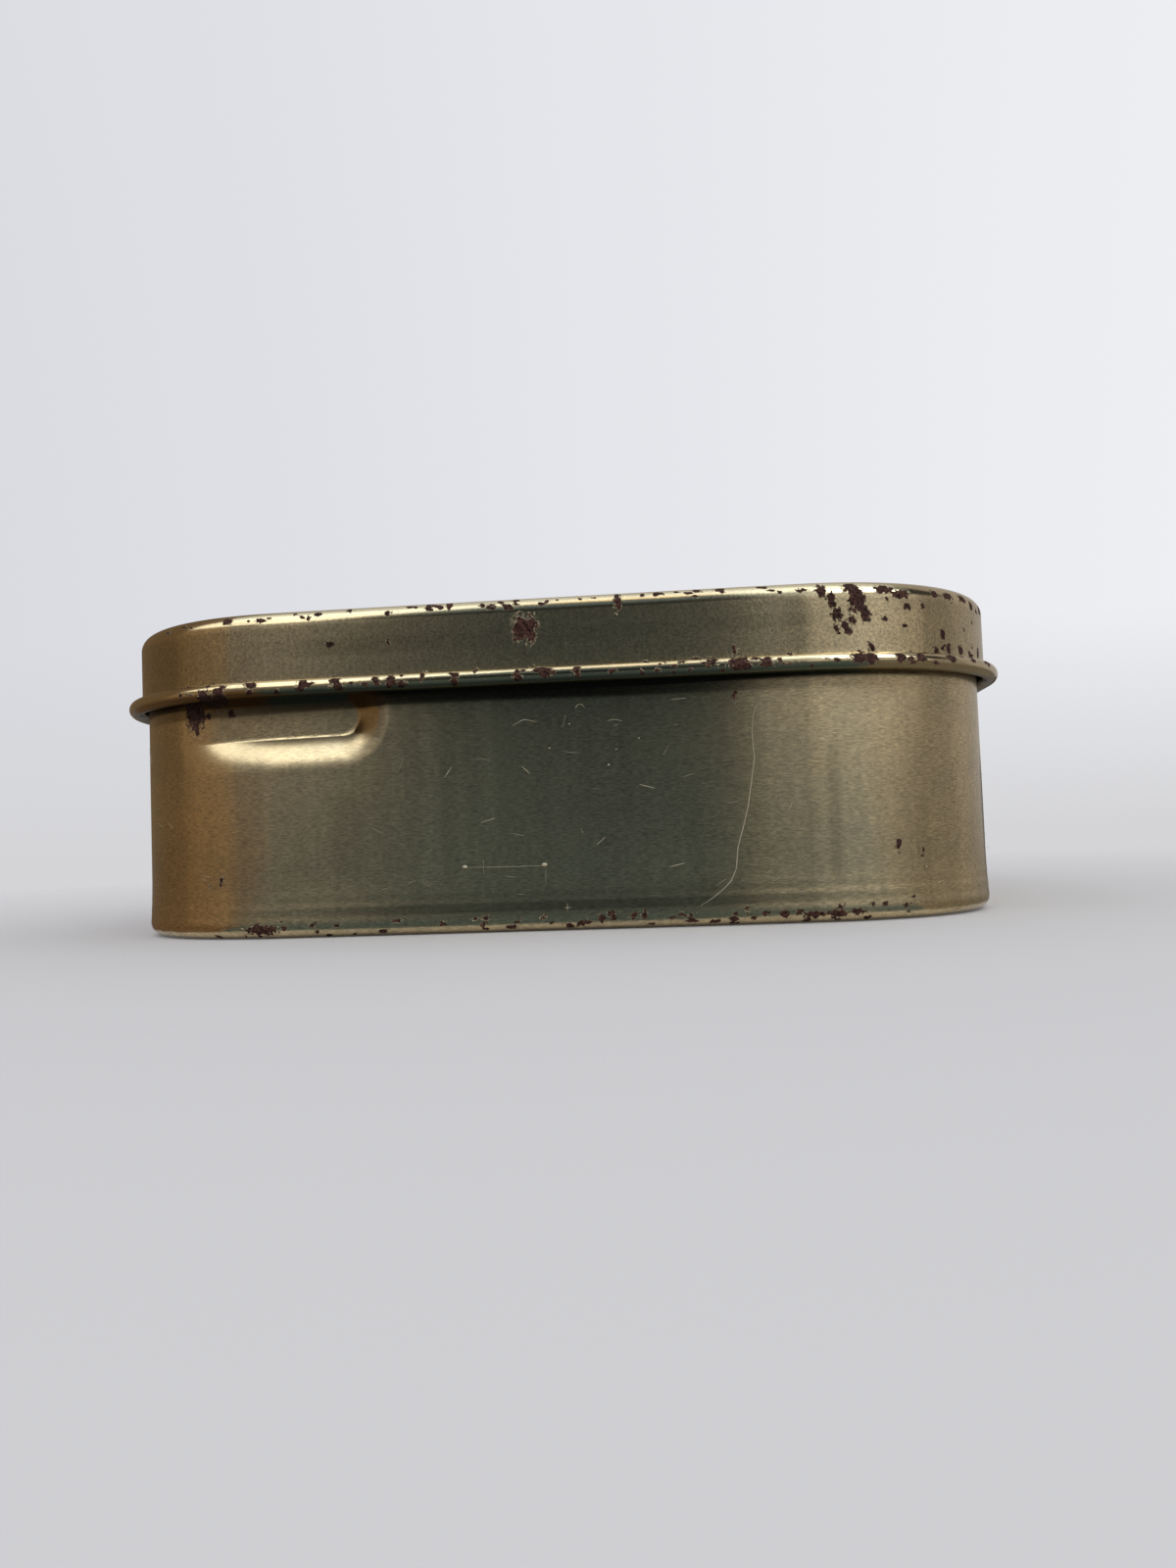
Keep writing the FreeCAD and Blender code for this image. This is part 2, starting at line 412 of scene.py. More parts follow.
def lacquered_metal(name, finish, grain_scale, streak_scale, grain_depth, dent_depth):
    """Gold lacquer on sheet metal: grain, faint streaks, dull patches, lighter and darker bands that are
    partly painted shade, and chips down to rust.
    """
    material = bpy.data.materials.new(name)
    nodes = Nodes(material)
    wrap = nodes.field("wrap_mm").outputs["Vector"]
    chip = nodes.field("chip").outputs["Fac"]
    tone = nodes.field("tone").outputs["Fac"]
    polish = nodes.field("polish").outputs["Fac"]
    grain = nodes.noise(wrap, grain_scale, detail=2.0, roughness=0.6)
    streaks = nodes.noise(wrap, streak_scale, detail=1.0, roughness=0.5)
    patches = nodes.noise(wrap, (0.09, 0.09, 0.14), detail=4.0, roughness=0.6)
    mottle = nodes.noise(wrap, (0.9, 0.9, 1.3), detail=3.0, roughness=0.6)
    dents = nodes.noise(wrap, (0.22, 0.22, 1.6), detail=2.0, roughness=0.5)
    rust_tone = nodes.noise(wrap, (4.5, 4.5, 4.5), detail=4.0, roughness=0.7)
    mask = rust_mask(nodes, wrap, chip)

    lacquer = nodes.mix(nodes.span(patches, 0.35, 0.7, 0.0, 0.9), rgba(finish.gold), rgba(finish.gold_dull))
    grain_shade = nodes.span(grain, 0.28, 0.72, 0.68, 1.30)
    shade = nodes.math("MULTIPLY", grain_shade, nodes.span(streaks, 0.28, 0.72, 0.96, 1.04))
    shade = nodes.math("MULTIPLY", shade, nodes.span(mottle, 0.3, 0.7, 0.95, 1.05))
    unpolished = nodes.math("SUBTRACT", 1.0, nodes.math("MULTIPLY", polish, 0.7))
    shade = nodes.math("ADD", 1.0, nodes.math("MULTIPLY", nodes.math("SUBTRACT", shade, 1.0), unpolished))
    # The tone field lightens or darkens the lacquer: partly its own streaks and smudges, partly painted shade
    # under the bead, in the recess, at the foot and on the lid's skirt.
    shade = nodes.math("MULTIPLY", shade, nodes.span(tone, -0.9, 0.2, 0.1, 1.2))
    rust = nodes.mix(nodes.span(rust_tone, 0.40, 0.68), rgba(finish.rust_dark), rgba(finish.rust))
    # The same field darkens the rust: smudges, and painted shade on the chips under the bead.
    rust_smudge_and_shade = nodes.span(tone, -0.7, 0.0, 0.25, 1.0)
    nodes.set("Base Color", nodes.mix(mask, nodes.dimmed(lacquer, shade), nodes.dimmed(rust, rust_smudge_and_shade)))

    pitted = nodes.math("MULTIPLY", mask, nodes.span(rust_tone, 0.2, 0.8, -1.0, -0.5))
    normal = nodes.bump(pitted, 0.03, nodes.bump(dents, dent_depth, nodes.bump(grain, grain_depth)))
    nodes.set("Normal", normal)
    rolled = nodes.field("rolled").outputs["Vector"]
    turned = nodes.add("ShaderNodeVectorTransform", {0: rolled}, convert_from="OBJECT", convert_to="WORLD")
    nodes.set("Tangent", turned.outputs[0])

    rough = nodes.span(patches, 0.3, 0.7, finish.roughness - 0.01, finish.roughness + 0.01)
    rough = nodes.math("SUBTRACT", rough, nodes.math("MULTIPLY", polish, finish.roughness - finish.polished))
    nodes.set("Roughness", nodes.span(mask, 0.0, 1.0, rough, 0.75))
    nodes.set("Metallic", nodes.math("SUBTRACT", 1.0, mask))
    nodes.set("Anisotropic", 0.78)
    nodes.set("Anisotropic Rotation", 0.25)
    nodes.set("Specular IOR Level", 0.08)
    return material


def bare_metal(finish):
    """Pale scuffed metal along a hairline scratch."""
    material = bpy.data.materials.new("scuffed_metal")
    nodes = Nodes(material)
    wrap = nodes.field("wrap_mm").outputs["Vector"]
    glint = nodes.noise(wrap, (2.2, 2.2, 2.2), detail=3.0, roughness=0.6)
    scuffed = nodes.mix(nodes.span(glint, 0.35, 0.7), rgba(finish.gold_dull), rgba(finish.bare))
    nodes.set("Base Color", scuffed)
    nodes.set("Roughness", 0.5)
    nodes.set("Metallic", 0.4)
    return material


# ---------------------------------------------------------------- wear

# Each worn place is its middle and half its size, in millimetres along the plan and up the unrolled metal.
BOX_WEAR = (
    (-31.9, 20.6, 1.2, 1.5), (-31.7, 19.4, 0.35, 0.8), (-30.4, 22.2, 1.5, 0.9), (-29.0, 21.6, 0.9, 0.5),
    (-27.9, 20.4, 0.35, 0.4), (-30.3, 20.4, 0.3, 0.3),
    (-25.0, 0.8, 1.6, 0.5), (-4.9, 0.3, 0.3, 0.2), (-2.6, 0.4, 0.5, 0.25), (3.5, 0.6, 0.4, 0.3),
    (5.3, 1.0, 0.35, 0.4), (9.0, 1.2, 0.25, 0.4), (13.0, 0.55, 0.5, 0.25), (16.6, 0.6, 0.45, 0.25),
    (23.4, 0.7, 0.9, 0.35), (25.4, 0.75, 0.8, 0.35), (27.2, 0.9, 0.9, 0.25), (31.2, 6.5, 0.25, 0.55),
    (33.5, 5.6, 0.3, 0.35), (32.4, 1.9, 0.22, 0.25), (-30.3, 4.8, 0.2, 0.25), (-29.0, 5.2, 0.2, 0.2),
    (17.4, 19.75, 0.2, 0.4),
)
LID_WEAR = (
    (-0.9, 26.4, 0.7, 1.2), (0.0, 26.3, 0.6, 1.3), (25.1, 28.4, 0.5, 0.6), (25.9, 27.5, 0.4, 0.7),
    (26.3, 26.3, 0.5, 0.6), (27.6, 28.5, 0.7, 0.6), (28.1, 27.4, 0.8, 1.2), (28.8, 26.2, 0.5, 0.7),
    (27.6, 25.7, 0.35, 0.35), (27.2, 24.8, 0.4, 0.4), (26.3, 25.0, 0.3, 0.4), (26.9, 25.3, 0.3, 0.3),
    (30.6, 28.4, 0.9, 0.5), (32.2, 28.0, 0.9, 0.45), (36.0, 28.2, 0.5, 0.35), (37.9, 28.2, 0.7, 0.4),
    (40.3, 28.3, 0.8, 0.4), (42.2, 27.8, 0.5, 0.5), (45.6, 28.0, 0.9, 0.5), (34.5, 27.1, 0.25, 0.25),
    (30.5, 25.8, 0.25, 0.25), (36.8, 24.75, 0.35, 0.4), (37.5, 23.5, 0.4, 0.45), (39.4, 23.5, 0.4, 0.5),
    (35.8, 23.2, 0.35, 0.3), (43.6, 23.7, 0.4, 0.5), (7.7, 28.5, 0.3, 1.1), (11.1, 29.0, 0.5, 0.3),
    (14.6, 29.1, 0.4, 0.3), (16.6, 29.1, 0.4, 0.3), (-9.0, 28.9, 0.3, 0.5), (-7.9, 28.8, 0.25, 0.3),
    (-7.1, 28.9, 0.3, 0.5), (-1.2, 29.1, 0.4, 0.3), (-17.9, 25.9, 0.35, 0.35), (-12.6, 25.8, 0.3, 0.25),
    (-24.2, 28.4, 0.4, 0.3), (-27.5, 28.6, 0.5, 0.4), (-19.8, 28.3, 0.2, 0.4), (17.6, 23.5, 0.2, 0.5),
    (29.2, 23.3, 0.3, 0.5),
)
BEAD_WEAR = (
    (-29.0, 21.6, 0.7, 0.8), (-27.6, 21.9, 0.5, 0.8), (-27.9, 21.2, 0.9, 0.4), (-24.8, 22.5, 0.6, 0.35),
    (-22.4, 21.7, 0.3, 0.3), (-20.0, 22.3, 0.5, 0.6), (-20.3, 21.9, 0.5, 0.3), (-17.2, 22.5, 0.5, 0.4),
    (-16.9, 21.9, 0.6, 0.4), (-13.6, 22.5, 0.4, 0.3), (-12.2, 22.2, 0.5, 0.7), (-11.2, 21.9, 0.4, 0.4),
    (-9.4, 22.6, 0.25, 0.35), (-6.6, 22.5, 0.4, 0.35), (-6.5, 21.9, 0.35, 0.6), (-1.1, 22.2, 0.35, 0.6),
    (0.9, 22.6, 0.7, 0.35), (1.5, 22.2, 0.6, 0.5), (4.1, 22.2, 0.4, 0.55), (14.3, 22.9, 0.5, 0.15),
    (15.7, 22.5, 0.5, 0.3), (17.9, 22.3, 0.9, 0.75), (18.5, 21.9, 0.6, 0.3), (20.3, 22.2, 0.6, 0.55),
    (27.7, 22.3, 0.7, 0.55), (28.6, 22.3, 0.5, 0.6), (31.2, 22.3, 0.5, 0.5), (33.0, 22.4, 0.5, 0.5),
    (36.4, 22.4, 0.6, 0.4), (39.5, 22.5, 0.4, 0.4), (42.6, 22.5, 0.5, 0.4),
)
# Bands where the metal is lighter or darker: middle along, half its width, low, high, and how much lighter.
# On the box some are the lacquer's own streaks and smudges and some are painted shade; on the lid all of them
# are painted shade.
BOX_TONES_AND_SHADE = (
    (-9.4, 0.9, 3.0, 20.0, 0.14), (-6.6, 0.5, 2.0, 19.0, 0.10), (-4.2, 0.7, 8.0, 21.0, 0.12),
    (-12.4, 0.6, 6.0, 20.0, 0.08), (2.4, 0.5, 2.0, 16.0, 0.06), (7.8, 0.6, 9.0, 21.0, -0.10),
    (25.6, 0.55, 3.0, 16.0, -0.22), (14.0, 1.1, 2.0, 12.0, -0.08), (-17.0, 1.4, 5.0, 13.0, -0.10),
    # Darker lines just above the base edge, then painted shade under the bead across the front.
    (3.0, 24.0, 1.8, 2.7, -0.40), (5.0, 20.0, 3.1, 3.6, -0.16), (-8.0, 31.0, 19.9, 23.5, -0.85),
    # Painted shade in the right-hand end of the thumb recess.
    (-14.6, 1.3, 17.0, 21.5, -0.35),
    # Painted shade all round under the bead, and along the underside of the base edge where it meets the
    # floor.
    (0.0, 400.0, 20.9, 23.5, -0.5), (0.0, 400.0, -3.0, 0.3, -0.6),
)
LID_PAINTED_SHADE = (
    # Painted shade: darker bands across the middle of the skirt.
    (-14.0, 9.0, 24.8, 26.6, -0.14), (4.0, 9.0, 24.9, 26.4, -0.08), (20.0, 5.0, 25.2, 26.6, -0.12),
    # Painted shade on the bead's underside at the front and all round, and on the skirt's left-hand part.
    (-8.0, 34.0, 19.0, 22.0, -0.70), (0.0, 400.0, 19.0, 21.4, -0.5), (-26.0, 15.0, 22.6, 28.0, -0.30),
    # Painted shade on the skirt round the right-hand corner.
    (24.5, 3.0, 22.8, 28.0, -0.28), (36.0, 9.0, 22.8, 28.0, -0.22),
)
LONG_SCRATCH = (
    (19.7, 18.9), (19.2, 18.7), (18.9, 17.7), (18.8, 16.4), (18.9, 14.2), (18.5, 11.8), (18.2, 10.1),
    (17.7, 8.3), (17.2, 6.7), (17.0, 4.9), (16.5, 3.8), (15.7, 3.05), (14.7, 2.3), (13.8, 1.8),
)
LEVEL_SCRATCH = ((-6.5, 5.76), (-4.0, 5.71), (-1.6, 5.7), (0.5, 5.68))
SHORT_SCRATCHES = (
    ((3.6, 19.2), (3.9, 19.6), (4.3, 19.6), (4.5, 19.2)), ((-2.0, 17.9), (-0.9, 18.5), (0.3, 18.2)),
    ((6.4, 18.0), (7.0, 18.15), (7.7, 17.95)), ((12.0, 19.6), (13.3, 19.7)), ((2.1, 2.0), (2.75, 2.0)),
    ((2.4, 1.7), (2.4, 2.35)), ((-5.0, 9.6), (-3.6, 10.0)), ((9.0, 12.4), (10.3, 12.0)),
    ((21.4, 9.3), (22.0, 10.4)), ((-8.1, 13.6), (-7.4, 14.6)), ((11.3, 5.2), (12.6, 5.5)),
    ((22.8, 14.8), (23.2, 15.9)), ((-1.2, 14.4), (-0.5, 13.7)), ((5.1, 7.3), (5.9, 8.0)),
)
BRIGHT_DOTS = (
    (-6.5, 5.8, 0.22), (0.5, 5.75, 0.25), (6.4, 14.2, 0.1), (3.1, 17.9, 0.08), (1.3, 15.85, 0.08),
    (9.1, 16.4, 0.07), (7.1, 15.5, 0.07), (33.9, 4.4, 0.1),
)


BAND_EDGE = 0.12            # share of a band's height over which it comes and goes

# Each kind of random wear draws from its own seed, this much past the finish's seed.
SEED_STEPS = {
    "box waves": 0, "base chips": 1, "bead chips": 2, "lid waves": 3, "lid chips": 4, "scuffs": 5,
    "wall specks": 6, "base specks": 7, "lid edge specks": 8, "lid side specks": 9, "bead specks": 10,
}


def bands_of(along, up, tones, total):
    """Sums soft-edged bands of lighter and darker lacquer, given in millimetres; many of the darker ones are
    painted shade.
    """
    field = np.zeros(np.broadcast(along, up).shape)
    for centre, half_width, low, high, amount in tones:
        away = (along - centre * MM + total / 2) % total - total / 2
        across = np.exp(-((away / (half_width * MM)) ** 4))
        into = np.clip(np.minimum(up - low * MM, high * MM - up) / (BAND_EDGE * (high - low) * MM), 0, 1)
        field += amount * across * into * into * (3 - 2 * into)
    return field


class Builder:
    """What the operators share."""

    def __init__(self, context):
        self.sizes = context.scene.tin_sizes
        self.finish = context.scene.tin_finish
        self.plan = Plan(self.sizes)
        sizes = self.sizes
        self.bead_middle = LID_LOW.z + sizes.bead / 2
        self.rim = LID_HIGH.z - sizes.lid_panel
        self.recess_x = -self.plan.flat_x + sizes.recess_run - sizes.recess_floor / 2
        self.recess_z = LID_LOW.z - sizes.recess_drop
        self.recess_left = -self.plan.flat_x - RECESS_REACH

    def seed(self, kind):
        return self.finish.seed + SEED_STEPS[kind]

    def recess_lift(self, x):
        """How much higher than at its left end the tilted recess stands at a place along the front."""
        reach = np.clip(x, self.recess_left, self.recess_x + self.sizes.recess_ramp) - self.recess_left
        return reach * math.tan(self.sizes.recess_tilt) - RECESS_SETTLE

    def recess(self, x, z):
        """How far the metal is pressed in at a place on the front, and how polished it is there."""
        sizes, radius = self.sizes, self.plan.radius
        up = z - self.recess_z - self.recess_lift(x)
        away = np.hypot(np.maximum(x - self.recess_x, 0), up) - sizes.recess_floor / 2
        turned = np.clip(-self.plan.flat_x - x, 0, radius)
        left = sizes.recess_depth - RECESS_RUN_OUT * (radius - np.sqrt(radius**2 - turned**2))
        depth = (left + np.sqrt(left**2 + RECESS_SOFTNESS**2)) / 2
        past = np.clip(away / sizes.recess_ramp, 0, 1)
        ramp = 1 - (past * (sizes.recess_ease + 1) - past ** (sizes.recess_ease + 1)) / sizes.recess_ease
        polish = np.where(away > 0, 1 - past**2, 0) * np.clip(depth / sizes.recess_depth * 3, 0, 1)
        return depth * ramp, polish

    def easing(self, along, size):
        """A slight draw-in of the wall where each flat side turns into a corner, so that it turns gently."""
        total = self.plan.length
        eased = 0.0
        for k, stop in enumerate(self.plan.stops[1:-1]):
            into_corner = DRAW_IN_PLACE if k % 2 == 0 else -DRAW_IN_PLACE
            away = (along - stop - into_corner + total / 2) % total - total / 2
            eased = eased - size * np.exp(-((away / DRAW_IN_WIDTH) ** 2))
        return eased

    def flare(self, z):
        """How far the wall stands out: a little all the way down, and most in its last few millimetres."""
        low = self.sizes.base_edge
        whole = np.clip(1 - (z - low) / (self.bead_middle - low), 0, 1)
        foot = np.clip(1 - (z - low) / FOOT_TOP, 0, 1) ** 2
        return self.sizes.wall_flare * ((1 - FOOT_SHARE) * whole + FOOT_SHARE * foot)

    def press_marks(self, z):
        """Faint level ridges that run round low on the wall."""
        rise, fall = PRESS_MARK_FADES
        coming = np.clip((z / MM - PRESS_MARKS[0]) / rise, 0, 1)
        going = np.clip((PRESS_MARKS[1] - z / MM) / fall, 0, 1)
        return PRESS_MARK_DEPTH * coming * going * np.sin(2 * math.pi * z / PRESS_MARK_SPACING)

    def wall(self, along, out, z):
        """Points of the box's wall, with its unevenness and the thumb recess."""
        x, y, out_x, out_y = self.plan.at(along)
        uneven = ripple(along, z, self.plan.length, self.seed("box waves"), WALL_WAVES)
        uneven = uneven + self.press_marks(z)
        uneven = uneven + self.easing(along, WALL_DRAW_IN) * np.where(x < 0, 0.5, 1.0)
        x, y = x + out_x * (out + uneven), y + out_y * (out + uneven)
        y = np.where(y < 0, y + self.recess(x, z)[0], y)
        return np.stack(np.broadcast_arrays(x, y, z), axis=-1)

    def show(self, name, mesh, material, node=None):
        piece = placed(name, mesh)
        mesh.materials.append(material)
        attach(piece, "root")
        if node:
            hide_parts(node)
        return piece

    def edge_chips(self, heights, spacing, kind):
        """Chips scattered along an edge all round, outside the front, where they are placed one by one."""
        draw = np.random.default_rng(self.seed(kind))
        total = self.plan.length / MM
        front = (self.plan.flat_x + self.plan.turn) / MM
        places = []
        place = 0.0
        while place < total:
            place += draw.exponential(spacing)
            size = draw.uniform(0.3, 1.1) if draw.random() < 0.8 else draw.uniform(1.1, 2.4)
            height = draw.choice(heights) + draw.normal(0, 0.25)
            if front <= place <= total - front:
                places.append((place, height, size, draw.uniform(0.35, 0.9)))
        return places

    def specks(self, low, high, heights, count, kind):
        """Small specks of rust scattered along a stretch of an edge."""
        draw = np.random.default_rng(self.seed(kind))
        places = []
        for _ in range(count):
            along, height = draw.uniform(low, high), draw.uniform(*heights)
            places.append((along, height, draw.uniform(0.12, 0.4), draw.uniform(0.1, 0.28)))
        return places


def unrolled(rows, anchor):
    """Heights of a section's rows, unrolled along the metal so that they agree with z at the anchor row."""
    out, z = (np.array(values) for values in zip(*rows))
    run = np.concatenate([[0.0], np.cumsum(np.hypot(np.diff(out), np.diff(z)))])
    rising = 1.0 if z[anchor + 1] > z[anchor] else -1.0
    return out[:, None], z[:, None], (z[anchor] + rising * (run - run[anchor]))[:, None]


class TIN_OT_box(Operator):
    """Build the pressed box, with its thumb recess and worn base edge"""

    bl_idname = "tin.box"
    bl_label = "Pressed box"

    def execute(self, context):
        builder = Builder(context)
        sizes, plan = builder.sizes, builder.plan
        rim = (-sizes.base_margin, 0.0)
        panel = (-sizes.base_margin - sizes.panel_slope, sizes.base_panel)
        edge = (sizes.wall_flare - sizes.base_edge, sizes.base_edge)
        top = LID_HIGH.z - sizes.lid_panel - sizes.sheet
        inner_edge = sizes.lid_edge - sizes.sheet
        rows = [panel]
        rows += swell(panel, rim, 6)
        panel_rows = len(rows)
        rows += straight(rim, (edge[0], 0.0), 3)
        rows += curve(edge, (sizes.base_edge, sizes.base_edge), -90, 0, 10)
        anchor = len(rows) - 1
        floor_low = builder.recess_z - sizes.recess_floor / 2
        floor_high = builder.recess_z + sizes.recess_floor / 2
        ramp_low = floor_low - sizes.recess_ramp - 1.2 * MM
        under_lid = builder.bead_middle + 0.3 * MM
        bands = (
            (sizes.base_edge, FOOT_TOP, 17), (FOOT_TOP, ramp_low, 15), (ramp_low, floor_low, 30),
            (floor_low, floor_high, 14), (floor_high, under_lid, 16), (under_lid, top - inner_edge, 5),
        )
        heights = np.concatenate([np.linspace(low, high, count)[1:] for low, high, count in bands])
        rows += [(builder.flare(z), z) for z in heights]
        rows += curve((-inner_edge, top - inner_edge), (inner_edge, inner_edge), 0, 90, 4)
        rows += straight((-inner_edge, top), (-sizes.lid_margin, top), 2)
        out, z, up = unrolled(rows, anchor)
        front_end = plan.flat_x + 13 * MM
        past_recess = builder.recess_x + 7 * MM
        fine = ((-front_end, past_recess, 0.16 * MM), (past_recess, front_end, 0.3 * MM))
        along = plan.columns(0.8 * MM, fine)[None, :]
        x = plan.at(along)[0]
        on_front = np.abs(along) < plan.stops[2]
        near = np.clip(3 - 3 * np.abs(z - builder.recess_z) / (7 * MM), 0, 1)
        side = np.where(on_front, 1.0, 0.0) * np.clip((9 * MM - x) / (15 * MM), 0, 1)
        shifted = z + builder.recess_lift(x) * near * side
        points = builder.wall(along, out, shifted)
        wear = list(BOX_WEAR) + builder.edge_chips((0.3, 0.7, 0.9), 7.0, "base chips")
        wear += builder.specks(-28, 34, (0.6, 1.5), 34, "wall specks")
        wear += builder.specks(-30, 40, (0.0, 0.6), 24, "base specks")
        fields = {
            "chip": blobs(along, up, wear, plan.length),
            "tone": bands_of(along, up, BOX_TONES_AND_SHADE, plan.length),
            "polish": np.where(on_front, builder.recess(x, shifted)[1], 0.0),
        }
        ends = (sizes.base_panel, top)
        mesh = closed_mesh("pressed_box", plan, points, along, up, panel_rows, fields, ends)
        metal = lacquered_metal(
            "rolled_gold_lacquer", builder.finish, grain_scale=(1.9, 1.9, 9.0), streak_scale=(2.2, 2.2, 0.05),
            grain_depth=0.0015, dent_depth=0.002,
        )
        builder.show("pressed_box", mesh, metal, "tin_body")
        return {"FINISHED"}


class TIN_OT_lid(Operator):
    """Build the slip-on lid, a sheet with a rolled bead round its lower edge"""

    bl_idname = "tin.lid"
    bl_label = "Slip-on lid"

    def execute(self, context):
        builder = Builder(context)
        sizes, plan = builder.sizes, builder.plan
        skirt = sizes.clearance + sizes.sheet
        panel = (-sizes.lid_margin - sizes.panel_slope, LID_HIGH.z)
        edge = (skirt - sizes.lid_edge, builder.rim - sizes.lid_edge)
        inner_edge = sizes.lid_edge - sizes.sheet
        radius = sizes.bead / 2
        bead = (sizes.clearance + radius, builder.bead_middle)
        touch = math.degrees(math.acos((skirt - bead[0]) / radius))
        seam = builder.bead_middle + radius * math.sin(math.radians(touch))
        rows = [panel]
        rows += swell(panel, (-sizes.lid_margin, builder.rim), 8)
        panel_rows = len(rows)
        rows += straight((-sizes.lid_margin, builder.rim), (edge[0], builder.rim), 6)
        rows += curve(edge, (sizes.lid_edge, sizes.lid_edge), 90, 0, 14)
        anchor = len(rows) - 1
        rows += straight((skirt, edge[1]), (skirt, seam), 20)
        skirt_end = len(rows)
        bead_steps = 40
        rows += curve(bead, (radius, radius), touch, -180, bead_steps)
        bead_end = len(rows)
        rows += straight((sizes.clearance, builder.bead_middle), (sizes.clearance, edge[1]), 4)
        rows += curve(edge, (inner_edge, inner_edge), 0, 90, 4)
        under_rim = (-sizes.lid_margin, builder.rim - sizes.sheet)
        rows += straight((edge[0], under_rim[1]), under_rim, 1)
        rows += swell(under_rim, (panel[0], LID_HIGH.z - sizes.sheet), 3)
        out, z, up = unrolled(rows, anchor)
        wear_up = up.copy()
        turns = np.radians(np.linspace(touch, -180, bead_steps + 1)[1:])[:, None]
        wear_up[skirt_end:bead_end] = builder.bead_middle + radius * turns
        wear_up[bead_end:] = 0.0
        along = plan.columns(0.9 * MM, ((-46 * MM, 50 * MM, 0.22 * MM),))[None, :]
        x, y, out_x, out_y = plan.at(along)
        uneven = ripple(along, z, plan.length, builder.seed("lid waves"), LID_WAVES)
        uneven = uneven * np.where(out > -sizes.lid_margin, 1.0, 0.0) + builder.easing(along, LID_DRAW_IN)
        x, y = x + out_x * (out + uneven), y + out_y * (out + uneven)
        points = np.stack(np.broadcast_arrays(x, y, z), axis=-1)
        lid_wear = list(LID_WEAR) + builder.edge_chips((28.9, 28.5, 28.2), 6.0, "lid chips")
        lid_wear += builder.specks(-36, 24, (28.2, 29.1), 50, "lid edge specks")
        lid_wear += builder.specks(30, 48, (23.2, 28.6), 14, "lid side specks")
        bead_wear = list(BEAD_WEAR) + builder.edge_chips((22.4, 22.1, 21.9), 4.0, "bead chips")
        bead_wear += builder.specks(-32, 44, (21.7, 23.0), 60, "bead specks")
        on_bead = np.zeros_like(z)
        on_bead[skirt_end - 2:bead_end] = 1.0
        lid_chips = blobs(along, wear_up, lid_wear, plan.length)
        bead_chips = blobs(along, wear_up, bead_wear, plan.length) * on_bead
        polish = np.zeros_like(z)
        polish[panel_rows:anchor] = 1.0
        polish[skirt_end:bead_end] = 1.0
        fields = {
            "chip": np.maximum(lid_chips, bead_chips),
            "tone": bands_of(along, wear_up, LID_PAINTED_SHADE, plan.length),
            "polish": polish,
        }
        ends = (LID_HIGH.z, LID_HIGH.z - sizes.sheet)
        mesh = closed_mesh("slip_lid", plan, points, along, up, panel_rows, fields, ends)
        metal = lacquered_metal(
            "drawn_gold_lacquer", builder.finish, grain_scale=(4.0, 4.0, 5.0), streak_scale=(2.4, 2.4, 0.5),
            grain_depth=0.004, dent_depth=0.005,
        )
        builder.show("slip_lid", mesh, metal, "lid")
        return {"FINISHED"}


def ribbon(plan, path, half_width, wall_out):
    """A thin closed ridge of metal that follows a path on the wall, its points and its faces."""
    path = np.array(path) * MM
    runs = np.concatenate([[0.0], np.cumsum(np.hypot(*np.diff(path, axis=0).T))])
    marks = np.linspace(0, runs[-1], max(4, round(runs[-1] / HAIRLINE_STEP)))
    place = np.stack([np.interp(marks, runs, path[:, 0]), np.interp(marks, runs, path[:, 1])], axis=-1)
    for _ in range(3):
        place[1:-1] = 0.25 * place[:-2] + 0.5 * place[1:-1] + 0.25 * place[2:]
    ahead = np.gradient(place, axis=0)
    ahead /= np.hypot(ahead[:, 0], ahead[:, 1])[:, None]
    side = np.stack([-ahead[:, 1], ahead[:, 0]], axis=-1)
    taper = np.sin(np.linspace(0.12, math.pi - 0.12, len(marks))) ** 0.5
    points = []
    for across, lift in ((-1, -0.5), (0, 1.0), (1, -0.5)):
        spot = place + side * (across * half_width * taper)[:, None]
        x, y, out_x, out_y = plan.at(spot[:, 0])
        out = wall_out(spot[:, 1]) + lift * HAIRLINE_RISE
        points.append(np.stack([x + out_x * out, y + out_y * out, spot[:, 1]], axis=-1))
    points = np.stack(points, axis=1).reshape(-1, 3)
    faces = []
    for i in range(len(marks) - 1):
        for k in range(3):
            a, c = 3 * i + k, 3 * i + (k + 1) % 3
            faces.append((a, c, c + 3, a + 3))
    last = 3 * (len(marks) - 1)
    faces += [(2, 1, 0), (last, last + 1, last + 2)]
    return points, faces


def handling_marks(plan, seed, count):
    """Faint short scuffs scattered over the wall all round, most of them nearly level."""
    draw = np.random.default_rng(seed)
    marks = []
    for _ in range(count):
        x = draw.uniform(0, plan.length / MM)
        z = draw.uniform(2.5, 18.5)
        half = draw.uniform(0.2, 0.8)
        lean = draw.normal(0, 0.3) if draw.random() < 0.75 else draw.normal(1.4, 0.3)
        reach_x, reach_z = half * math.cos(lean), half * math.sin(lean)
        bend = draw.normal(0, 0.08)
        near_recess = abs(x - plan.length / MM + 26) < 14 and z > 12
        if not near_recess:
            path = ((x - reach_x, z - reach_z), (x, z + bend), (x + reach_x, z + reach_z))
            marks.append((path, 0.014))
    return marks


